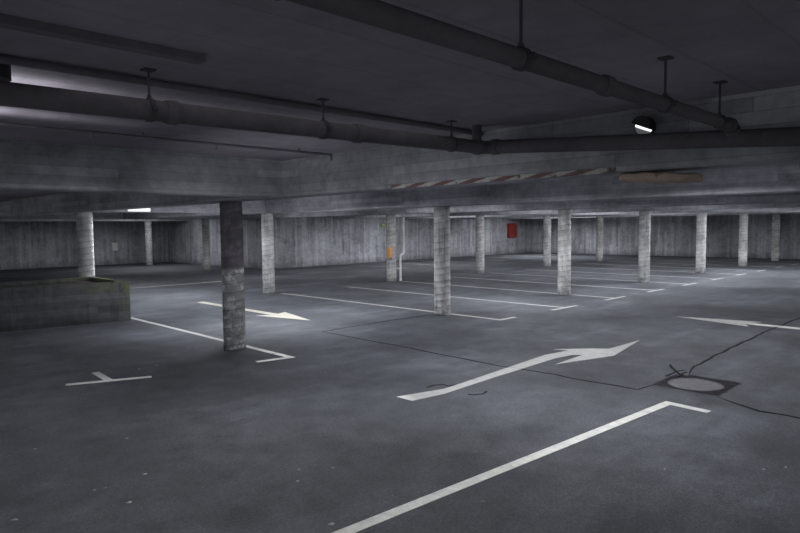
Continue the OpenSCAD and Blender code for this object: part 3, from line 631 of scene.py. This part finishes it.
# %% Columns
def spiral_column(radius, height, around=40, ridge=0.003):
    """Angle a and row r: the height is the row's part of a turn plus a / 2 pi, times the pitch, clipped to
    the column. The radius is the column's, less the ridge, plus the ridge on the seam's rows. Ends close on
    the axis."""
    part = np.array([0.0, 0.05, 0.1, 0.55])
    out = np.array([0.0, 1.0, 0.0, -0.25]) * ridge
    turns = int(np.ceil(height / PITCH)) + 2
    row = (np.arange(turns)[:, None] - 1 + part).reshape(-1, 1)
    angle = np.linspace(0, TURN, around + 1)
    climb = (row + angle / TURN) * PITCH
    z = np.clip(climb, 0.0, height)
    r = radius - ridge + np.where(climb == z, np.tile(out, turns)[:, None], 0.0)
    points = np.stack([r * np.cos(angle), r * np.sin(angle), z], -1)
    uv = np.stack(np.broadcast_arrays(angle * radius, row * PITCH), -1)
    foot, top = (np.full((1, around + 1, 3), (0, 0, z)) for z in (0.0, height))
    return surface(np.concatenate([foot, points, top]), np.concatenate([uv[:1], uv, uv[-1:]]))


def columns(node, places, seed):
    """Stands spiral columns in the place of a node, each with its own angle and its own strips."""
    places = np.array([at(x, y, FLOOR) for x, y in places])
    turns = np.random.default_rng(seed).uniform(0, TURN, len(places))
    uv = UV + np.arange(len(places))[:, None, None, None] * np.array([0.0, 40 * PITCH])
    obj = piece("tube_" + node, copies(TUBE, places, turns), "column_concrete", uv)
    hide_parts(node)


*TUBE, UV = spiral_column(COLUMN_HALF, BEAM - FLOOR)
LEFT_ROWS = [7.685, ROW_B, 27.6, 34.2]
WING_X = (BAY, 14.2)
columns("columns_near_edge", [(k * BAY, NEAR_ROW) for k in range(8)], 1)
columns("columns_left_edge", [(0, y) for y in LEFT_ROWS], 2)
columns("columns_row_a", [(k * BAY, ROW_A) for k in range(1, 8)], 3)
columns("columns_row_b", [(k * BAY, ROW_B) for k in range(1, 8)], 4)
columns("columns_wing", [(x, y) for y in LEFT_ROWS[2:] for x in WING_X], 5)

# %% [markdown]
# ## Lamps
# A round bulkhead lamp has a pressed glass bowl with ribs that spread the light. Half of it sits behind the
# hood, so it is brightest just under the hood's edge. The bowl is a turned profile whose radius swells at
# each rib, and its own coordinate says how far a point lies under that edge.

# %% Lamp bowls
HOOD_TURN = math.radians(24)
LAMP_Y, LAMP_DROP, LAMP_BASE = 2.24, 0.16, 0.03
LEFT_LAMP = (0.86, 4.0605)


def ribbed_bowl(radius=0.0705, deep=0.066, ribs=28, around=112, rows=12):
    """Angle a, t from rim to middle: r = radius cos(t), swollen by cos(ribs a), and z = deep sin(t)."""
    t = np.linspace(0, np.pi / 2, rows)[:, None]
    a = np.linspace(0, TURN, around + 1)
    r = radius * np.cos(t) ** 0.7 * (1 + 0.02 * np.cos(ribs * a) * np.sin(2 * t) ** 0.5)
    points = np.stack(np.broadcast_arrays(r * np.cos(a), r * np.sin(a), LAMP_BASE + deep * np.sin(t)), -1)
    points = np.pad(points, ((1, 0), (0, 0), (0, 0)))
    points[0] = 0, 0, LAMP_BASE
    under = np.stack([a + 0 * points[..., 0], -points[..., 1] / radius], -1)
    return surface(points, under)


# Where a bowl's own x, y and z point, for a lamp on a beam and for the one under the slab
points, faces, uv = ribbed_bowl()
c, s = math.cos(HOOD_TURN), math.sin(HOOD_TURN)
on_beam = points @ np.array([(0, -c, -s), (0, -s, c), (-1, 0, 0)])
under_slab = points @ np.array([(0, 1, 0), (1, 0, 0), (0, 0, -1)])
beam_lamps = [at(k * BAY - BEAM_HALF, LAMP_Y, SOFFIT - LAMP_DROP) for k in range(1, 8)]
bowls = joined(copies((on_beam, faces), beam_lamps), copies((under_slab, faces), [at(*LEFT_LAMP, SOFFIT)]))
obj = piece("ribbed_bowls", bowls, "lamp_glass", np.tile(uv, (8, 1, 1)), layer="bowl", finish="lamp_bowl")
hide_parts("lamp_glasses")

# %% [markdown]
# The straight lamp has a moulded cover: a rounded section, carried along the lamp, with fine ribs along it.

# %% Straight lamp
def straight_cover(low, high, ribs=7, steps=28, rows=37):
    """Half an oval section from the top edge round the front to the bottom edge, with a cosine of ribs on
    it; at the ends the section shrinks as the root of a circle, which rounds them."""
    t = np.linspace(-np.pi / 2, np.pi / 2, steps)
    u = np.linspace(-1, 1, rows)[:, None]
    end = np.sqrt(1 - (1 - np.clip((1 - np.abs(u)) / 0.03, 0, 1)) ** 2)
    (x, _, z), (half_long, _, half_tall) = (low + high) / 2, (high - low) / 2
    out = (high.y - low.y) * np.cos(t) ** 0.5 * (1 - 0.05 * (1 - np.cos(2 * ribs * t)) * np.cos(t)) * end
    z = z + half_tall * np.sin(t) * end
    front = np.stack(np.broadcast_arrays(x + u * half_long, high.y - out, z), -1)
    rear = front[:, ::-1].copy()
    rear[..., 1] = high.y
    return surface(np.concatenate([front, rear], 1), wrap_cols=True)


obj = piece("straight_cover", straight_cover(*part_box("batten_glass")), "lamp_glass")
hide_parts("batten_glass")

# %% [markdown]
# ## Foam pad
# The yellow pad under the end of the striped strip is foam in a coated skin, held under the beam at one
# end. It has gone slack, so its free end hangs lower and its sides bulge. It is one closed surface: rounded
# sections, fuller below than above, on a middle line that sags.

# %% Pad
def slack_pad(low, high, hung=0.037, sag=0.036, steps=64, rows=72):
    """Along s and round a: x = half width times cos(a) to a low power, z = middle + half height times
    sin(a) to a low power, both shrinking to nothing at the ends as an oval of high order; small waves swell
    it between straps."""
    s = np.linspace(0, 1, rows)[:, None]
    a = np.linspace(0, TURN, steps, endpoint=False)
    c, d = np.cos(a), np.sin(a)
    near_end = np.clip(1 - np.abs(2 * s - 1) ** 14, 0, 1) ** 0.4
    far = np.clip((s - 0.76) / 0.24, 0, 1)
    long, middle = high.y - low.y, (low.x + high.x) / 2
    wide = (high.x - low.x) / 2 * np.sqrt(1 - 0.93 * far ** 2) * near_end
    thick = (0.048 + 0.016 * np.sin(np.pi * s) + 0.003 * np.cos(6 * np.pi * s)) * near_end / 1.3
    puff = (1 + 0.05 * np.cos(4 * np.pi * s + 1) * d ** 2) * np.where(d < 0, 1.05, 0.75)
    sagging = high.z - hung - sag * s ** 1.4
    x = middle + wide * np.sign(c) * np.abs(c) ** 0.45
    z = sagging + thick * np.sign(d) * np.abs(d) ** 0.6 * puff + 0.0025 * np.sin(23 * s + 2 * c) * near_end
    return closed(np.stack(np.broadcast_arrays(x, high.y - s * long, z), -1))


pad = piece("slack_pad", slack_pad(*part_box("warning_pad")), "yellow_foam")
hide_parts("warning_pad")
heights = [v.co.z - FLOOR for v in pad.data.vertices]
print("pad, lowest and highest", round(min(heights), 3), round(max(heights), 3))

# %% [markdown]
# ## Soil
# Bare soil in the planter is a crumbly height field. Value noise from a seeded table, summed at five sizes,
# gives the lumps; the border is carried down to the slab and closed below, so the piece is a solid.

# %% Soil
SOIL_X, SOIL_FRONT, SOIL_BACK = (0.75, 5.14), (14.7257, 14.0143), 15.89


def value_noise(u, v, cells, seed):
    """A table of random heights, read with smooth steps between its four nearest entries."""
    table = np.random.default_rng(seed).uniform(-1, 1, (cells + 2, cells * 3 + 2))
    p, q = u * cells, v * cells * 3
    i, j = np.floor(p).astype(int), np.floor(q).astype(int)
    f, g = (w * w * (3 - 2 * w) for w in (p - i, q - j))
    low = table[i, j] * (1 - g) + table[i, j + 1] * g
    high = table[i + 1, j] * (1 - g) + table[i + 1, j + 1] * g
    return low * (1 - f) + high * f


def soil_bed(rows=70, cols=190):
    """Across u and along v of the planter's inner outline, with noise for the height, and a skirt."""
    u, v = np.meshgrid(np.linspace(0, 1, rows), np.linspace(0, 1, cols), indexing="ij")
    x, front = (start + (end - start) * v for start, end in (SOIL_X, SOIL_FRONT))
    y = front + (SOIL_BACK - front) * u
    lumps = sum(0.5 ** n * value_noise(u, v, 3 * 2 ** n, 11 + n) for n in range(5))
    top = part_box("soil")[1].z
    z = top - 0.028 + 0.014 * lumps + 0.012 * (2 * v - 1) * (2 * u - 1)
    return skirted(np.stack([x, y, np.minimum(z, top)], -1) - MID, FLOOR)


obj = piece("soil_bed", soil_bed(), "soil")
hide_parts("soil")

# %% [markdown]
# ## Marks on the ground
# The asphalt was laid in lanes, and the joints between them were sealed with poured tar. A joint is a low
# bead that wanders a little and varies in width.

# %% Tar joints
def bead(path, seed, wide=0.046, high=0.0035, step=0.04):
    """A low arch of five points carried along a path that is cut into short steps and shaken sideways."""
    path = np.asarray(path, float)
    place = np.concatenate([[0], np.cumsum(np.linalg.norm(np.diff(path, axis=0), axis=1))])
    s = np.linspace(0, place[-1], max(4, int(place[-1] / step)))
    x, y = (np.interp(s, place, values) for values in path.T)
    rng = np.random.default_rng(seed)
    knots = 3 + int(s[-1] / 0.22)
    shake = [np.interp(s, np.linspace(0, s[-1], knots), rng.normal(0, 0.011, knots)) for _ in range(3)]
    line = np.stack([x + shake[0], y + shake[1], np.full(len(s), FLOOR)], -1) - MID
    arch = np.array([(-0.5, -0.0005), (-0.36, 0.6 * high), (0, high), (0.36, 0.6 * high), (0.5, -0.0005)])
    ahead = np.gradient(line, axis=0)
    side = np.stack([ahead[:, 1], -ahead[:, 0], 0 * s], -1) / np.linalg.norm(ahead, axis=1, keepdims=True)
    taper = np.minimum(1, 8 * np.minimum(s, s[-1] - s) / s[-1] + 0.2)
    width = wide * (1 + 14 * np.clip(shake[2], -0.04, 0.05)) * taper
    points = line[:, None] + arch[:, :1] * side[:, None] * width[:, None, None] + arch[:, 1:] * (0, 0, 1)
    ends = np.array([[0, 1, 2, 3], [0, 3, 4, 4]])
    return surface(points, more=(ends, ends + (len(s) - 1) * len(arch)), wrap_cols=True)


JOINTS = [
    [(7.21, 9.45), (7.22, 7.35), (7.17, 6.2), (7.15, 5.22), (7.21, 4.7), (7.22, 3.88),
     (7.25, 3.25), (7.62, 3.2)],
    [(7.19, 9.45), (8.24, 9.54), (9.36, 9.51), (10.3, 9.5)],
    [(7.57, 2.48), (7.27, 1.95), (7.29, 1.58), (7.25, 0.2), (7.27, -1.6)],
    [(8.36, 3.08), (8.75, 3.21), (10.89, 3.31), (12.67, 3.34), (16.0, 3.3)]]
SPILLS = [
    [(8.84, 3.53), (8.61, 3.37), (8.37, 3.2), (8.24, 3.1)],
    [(8.11, 3.28), (8.3, 3.28), (8.53, 3.28), (8.64, 3.25)],
    [(8.17, 3.17), (8.32, 3.17), (8.55, 3.17)],
    [(5.66, 4.64), (5.69, 4.55), (5.79, 4.5), (5.94, 4.54)],
    [(5.55, 5.19), (5.7, 5.2), (5.78, 5.13), (5.79, 5.03), (5.9, 5.03)]]
beads = [bead(path, 20 + n) for n, path in enumerate(JOINTS)]
beads += [bead(path, 30 + n, 0.042, 0.003, 0.02) for n, path in enumerate(SPILLS)]
piece("tar_joints", joined(*beads), "asphalt", finish="tar")

# %% [markdown]
# Grit, flakes of paint and scraps lie about: some at chosen places near the eye, the rest strewn by chance.
# Each is a flat stone with few faces, because there are many.

# %% Grit
SHAPES, STREWN = 6, 420


def flat_stone(seed, sides=7):
    """A low heap: an uneven ring on the ground, a smaller one above it, and a middle."""
    rng = np.random.default_rng(seed)
    a = np.sort(rng.uniform(0, TURN, sides))
    ring = np.stack([np.cos(a), np.sin(a) * rng.uniform(0.5, 0.9), 0 * a], -1)
    ring *= rng.uniform(0.7, 1.1, (sides, 1))
    upper = ring * (0.6, 0.6, 1) + (0, 0, 0.35)
    return surface(np.stack([0 * ring, ring, upper, 0 * ring + (0, 0, 0.45)]) * (1, 1, 0.5), wrap_cols=True)


SEEN = [(3.15, 10.71), (3.49, 8.9), (3.77, 8.97), (5.01, 9.64), (1.51, 6.33), (2.22, 6.01), (1.98, 5.01),
        (1.58, 4.98), (1.68, 4.57), (1.44, 4.46), (1.01, 4.86), (2.92, 4.18), (3.13, 4.0), (2.77, 3.99),
        (2.51, 3.24), (5.0, 2.02), (5.3, 1.8), (5.55, 1.45), (5.72, 1.33), (4.03, 2.35), (4.72, 3.6),
        (4.98, 1.1), (3.49, 2.71), (7.03, 5.35), (7.15, 5.22)]
rng = np.random.default_rng(7)
strewn = np.stack([rng.uniform(0.5, 38.5, STREWN), rng.uniform(-1.8, 25.7, STREWN)], -1)
beside_planter = (strewn[:, 0] > 5.6) | (strewn[:, 1] < 13.4)
spots = np.concatenate([np.array(SEEN), strewn[beside_planter]])
large, small = rng.uniform(0.012, 0.03, len(spots)), rng.uniform(0.004, 0.014, len(spots))
size = np.where(np.arange(len(spots)) < len(SEEN), large, small)
places = np.array([at(*spot, FLOOR) for spot in spots])
stones = [copies(flat_stone(40 + n), places[n::SHAPES], sizes=size[n::SHAPES]) for n in range(SHAPES)]
piece("grit", joined(*stones), "asphalt", finish="litter", smooth=False)

# %% [markdown]
# ## Roof deck
# The deck drains to outlets with domed grates. A strip of triangular section rounds the corner where the
# deck meets the upstand.

# %% Outlets and corner strip
def dome_bar(radius=0.085, high=0.075, foot=0.018, thick=0.006):
    """A bar of square section on a quarter circle from the ring to the top."""
    t = np.linspace(0, np.pi / 2, 7)
    out = np.stack([np.cos(t), 0 * t, np.sin(t)], -1)
    path = out * (radius, 0, high - foot) + (0, 0, foot)
    corners = [(-1, -1), (1, -1), (1, 1), (-1, 1)]
    return closed(np.stack([path + thick / 2 * (a * out + (0, b, 0)) for a, b in corners], 1))


def outlet(bars=10):
    """A flanged ring as a turned profile, and curved bars."""
    ring = lathe([(0, 0.001), (0.15, 0.001), (0.15, 0.006), (0.1, 0.01), (0.094, 0.022), (0.078, 0.022),
                  (0.074, 0.004), (0, 0.004)], 40)
    return joined(ring, copies(dome_bar(), np.zeros((bars, 3)), np.arange(bars) * TURN / bars))


def corner_strip(corners, wide=0.07):
    """A triangle carried round the upstand's inner outline, with one ring of three points at each corner:
    at the foot of the wall, up the wall, and out on the deck along the corner's halving line."""
    legs = (corners - np.roll(corners, 1, 0), np.roll(corners, -1, 0) - corners)
    n0, n1 = (np.stack([-d[:, 1], d[:, 0]], -1) / np.linalg.norm(d, axis=1, keepdims=True) for d in legs)
    inwards = (n0 + n1) / (1 + (n0 * n1).sum(1, keepdims=True))
    foot = np.pad(corners, ((0, 0), (0, 1)), constant_values=DECK) - MID
    out = np.pad(inwards, ((0, 0), (0, 1))) * wide
    return surface(np.stack([foot, foot + (0, 0, wide), foot + out], 1), wrap_rows=True, wrap_cols=True)


OUTLETS = [(4.707, 3.72), (0.5, 14), (13.1, 20.5), (23.6, 3.72), (23.6, 20.5), (34.1, 3.72), (34.1, 20.5),
           (8.0, 31.0)]
piece("roof_outlets", copies(outlet(), [at(x, y, DECK) for x, y in OUTLETS]), "drain_iron")
# The deck's edges, inside the upstand
LEFT, NEAR, RIGHT, BACK, WING_RIGHT, WING_BACK = -0.25, -2.25, 39.05, 26.1, 16.6, 37.05
corners = np.array([(LEFT, NEAR), (RIGHT, NEAR), (RIGHT, BACK), (WING_RIGHT, BACK), (WING_RIGHT, WING_BACK),
                    (LEFT, WING_BACK)])
piece("corner_strip", corner_strip(corners), "slab_concrete", smooth=False)

# %% [markdown]
# ## Doors of the boxes
# Sheet steel boxes have a pressed door with a soft raised field, two hinge knuckles and a turning latch.
# The field is a grid whose height rises from the rim with a smooth step.

# %% Doors
def pressed_door(wide, tall, proud=0.006, rim=0.02, sheet=0.004, rows=33):
    """Across u and up v: the height is the least distance to the edge, put through a smooth step and
    scaled; the border drops to the box behind it."""
    u, v = np.meshgrid(*(np.linspace(-1, 1, rows) * size / 2 for size in (wide, tall)), indexing="ij")
    edge = np.minimum(wide / 2 - np.abs(u), tall / 2 - np.abs(v))
    t = np.clip((edge - rim) / rim, 0, 1)
    return skirted(np.stack([u, v, sheet + proud * t * t * (3 - 2 * t)], -1), 0.0)


def latch(radius=0.016):
    """A round boss with a bar across it."""
    boss = lathe([(0, 0), (radius, 0), (radius, 0.012), (radius * 0.9, 0.015), (0, 0.015)], 24)
    points, faces = lathe([(0, 0.013), (0.3, 0.013), (1, 0.014), (1, 0.024), (0.8, 0.026), (0, 0.026)], 20)
    return joined(boss, (points * (radius * 0.9, radius * 0.28, 1), faces))


def knuckle(radius=0.007, long=0.05):
    """A hinge's barrel with two narrow grooves, lying along Y."""
    profile = [(0, -0.5), (1, -0.5), (1, -0.17), (0.8, -0.15), (1, -0.13), (1, 0.13), (0.8, 0.15),
               (1, 0.17), (1, 0.5), (0, 0.5)]
    points, faces = lathe(np.array(profile) * (radius, long), 14)
    return points[:, [0, 2, 1]] + (0, 0, radius * 0.6), faces


def dress_box(node):
    """A door, latch and hinges on the face of a box that looks to -Y."""
    low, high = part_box(node)
    wide, _, tall = (high - low) * 0.94
    hinges = [(-wide / 2, side * tall, 0) for side in (-0.32, 0.32)]
    points, faces = joined(pressed_door(wide, tall), copies(latch(), [(wide / 2 - 0.035, 0, 0.008)]),
                           copies(knuckle(), hinges))
    middle = ((low.x + high.x) / 2, low.y, (low.z + high.z) / 2)
    points = points @ np.array([(1, 0, 0), (0, 0, 1), (0, -1, 0)]) + middle
    piece(node + "_door", (points, faces), SLOT_OF[node])


for node in ("call_box", "hose_cabinet", "switch_box"):
    dress_box(node)

# %% [markdown]
# ## Stage, light and camera
# The storey stands on a plain pale floor in soft light. Inside, soft lights stand in for the rows of lamps:
# broad ones under the slab point down, and round ones at chest height light beams and columns from the
# side.

# %% Stage
mesh = bpy.data.meshes.new("stage_floor")
mesh.from_pydata([(-300, -300, 0), (300, -300, 0), (300, 300, 0), (-300, 300, 0)], [], [(0, 1, 2, 3)])
floor = linked("stage_floor", mesh)
paper = bpy.data.materials.new("stage_paper")
paper.use_nodes = True
net = Net(paper.node_tree)
shader = paper.node_tree.nodes["Principled BSDF"].inputs
seen = net.node("ShaderNodeLightPath")["Is Camera Ray"]
net.put(shader["Base Color"], net.mix(seen, (0.45, 0.45, 0.45), (0.82, 0.82, 0.82)))
shader["Roughness"].default_value = 0.9
mesh.materials.append(paper)

world = bpy.data.worlds.new("studio")
bpy.context.scene.world = world
world.use_nodes = True
net = Net(world.node_tree)
rays = net.node("ShaderNodeLightPath")
seen = net.most(rays["Is Camera Ray"], rays["Is Glossy Ray"], rays["Is Transmission Ray"])
back = world.node_tree.nodes["Background"].inputs
back["Color"].default_value = (1, 1, 1, 1)
net.put(back["Strength"], net.ramp(seen, 1.0, 0.95))

# %% Lights
def lamp_light(name, x, y, z, watts, wide=0.0, deep=0.0, radius=0.4, tilt=0.0, turn=0.0):
    """A soft light that the camera doesn't see: a panel if it has a width, pointing down or tilted towards
    +Y and turned about Z, in degrees; otherwise a ball."""
    data = bpy.data.lights.new(name, "AREA" if wide else "POINT")
    if wide:
        data.shape, data.size, data.size_y = "RECTANGLE", wide, deep
    else:
        data.shadow_soft_size = radius
    data.energy = watts
    obj = linked(name, data)
    obj.location = at(x, y, z)
    obj.rotation_euler = (math.radians(tilt), 0, math.radians(turn))
    obj.visible_camera = obj.visible_glossy = False


def lamp_rows(kind, rows, start, pitch, drop, **shape):
    """Rows of lights along X, as {y: watts of each place in the row}, where 0 is a place without one."""
    for y, row in rows.items():
        for k, watts in enumerate(row):
            if watts:
                lamp_light(f"{kind}_{y}_{k}", start + k * pitch, y, SOFFIT - drop, watts, **shape)


# Panels under the slab, balls at the lamps on the beams, and panels that light the slab round the left lamp
DOWN = {4.2: (10, 0, 0, 0, 0, 400, 70), 13.0: (0, 0, 150, 130, 190, 110, 70),
        21.3: (0, 50, 110, 125, 280, 75, 370), 31.0: (0, 0, 165)}
FACE = {LAMP_Y: (0, 0, 0, 0, 90, 52, 120), 31.0: (0, 27, 0)}
SPILL = {4.58: (1.6, 0.8, 0.28, 0.11, 0.08, 0.06, 0.055, 0.055, 0.055), 5.76: (1.0, 0.75, 0.28, 0.1, 0.04)}
# Pools of light on the asphalt and balls at chest height, as (x, y, watts)
POOLS = ((3.0, 5.6, 54), (3.6, 4.0, 26), (6.3, 4.1, 62), (9.0, 3.4, 50), (8.7, 6.3, 60), (12.5, 3.0, 48),
         (7.9, 11.3, 200), (6.6, 11.6, 110), (13.0, 8.8, 190), (17.5, 8.0, 190), (22.5, 8.0, 230),
         (27.5, 8.0, 170), (8.5, 18.0, 130), (7.8, 22.0, 65), (11.5, 5.2, 70), (17.5, 4.4, 50),
         (7.7, 14.9, 42), (26.5, 4.5, 60), (21.5, 4.5, 60))
SIDE = ((19.8, 7.2, 30), (7.9, 18.6, 35), (27.2, 7.4, 50), (34.1, 18.6, 62), (24.6, 7.2, 70))
lamp_rows("down", DOWN, 0.5 * BAY, BAY, 0.05, wide=3.0, deep=4.0)
lamp_rows("face", FACE, BAY - 0.4, BAY, 0.3, radius=0.1)
for n, (x, y, watts) in enumerate(POOLS):
    lamp_light(f"pool_{n}", x, y, SOFFIT - 0.4, watts, 1.4, 1.4)
for n, (x, y, watts) in enumerate(SIDE):
    lamp_light(f"side_{n}", x, y, FLOOR + 1.4, watts)
lamp_rows("spill", SPILL, 0.8, 0.35, 0.12, wide=0.35, deep=0.3, tilt=180)
lamp_light("bounce_near", 3.2, 6.1, FLOOR + 1.6, 10, 2.0, 0.4, tilt=105, turn=-90)
lamp_light("bounce_row", 9.0, 13.0, FLOOR + 1.2, 50, 6.0, 0.5, tilt=140)
lamp_light("bounce_far", 24.0, 13.0, FLOOR + 1.2, 120, 12.0, 0.5, tilt=140)
lamp_light("straight_lamp", 6.5, 16.5, BEAM - 0.02, 110, 1.2, 0.3)
lamp_light("beam_pool", 5.6, 3.8, SOFFIT - 0.15, 62, 0.15, 2.2)
sun = bpy.data.lights.new("sky_panel", "SUN")
sun.energy, sun.angle = 0.5, math.radians(25)
linked("sky_panel", sun).rotation_euler = (math.radians(20), math.radians(14), 0)
print("lights", len(bpy.data.lights))

# %% Camera
# A perspective fit of the photograph puts the eye over the corner column's line, 2 m above the asphalt.
EYE_HEIGHT = 2.0
camera = bpy.data.cameras.new("view")
camera.lens, camera.sensor_width, camera.clip_end = 27.9, 36, 500
eye = linked("view", camera)
right = Vector((0.71175661, -0.70234863, -0.0104364))
up = Vector((0.05253442, 0.03841033, 0.99788014))
turn = Matrix((right, up, right.cross(up))).transposed().to_4x4()
eye.matrix_world = Matrix.Translation(at(0, 0, FLOOR + EYE_HEIGHT)) @ turn
bpy.context.scene.camera = eye
bpy.context.scene.view_settings.view_transform = "Standard"
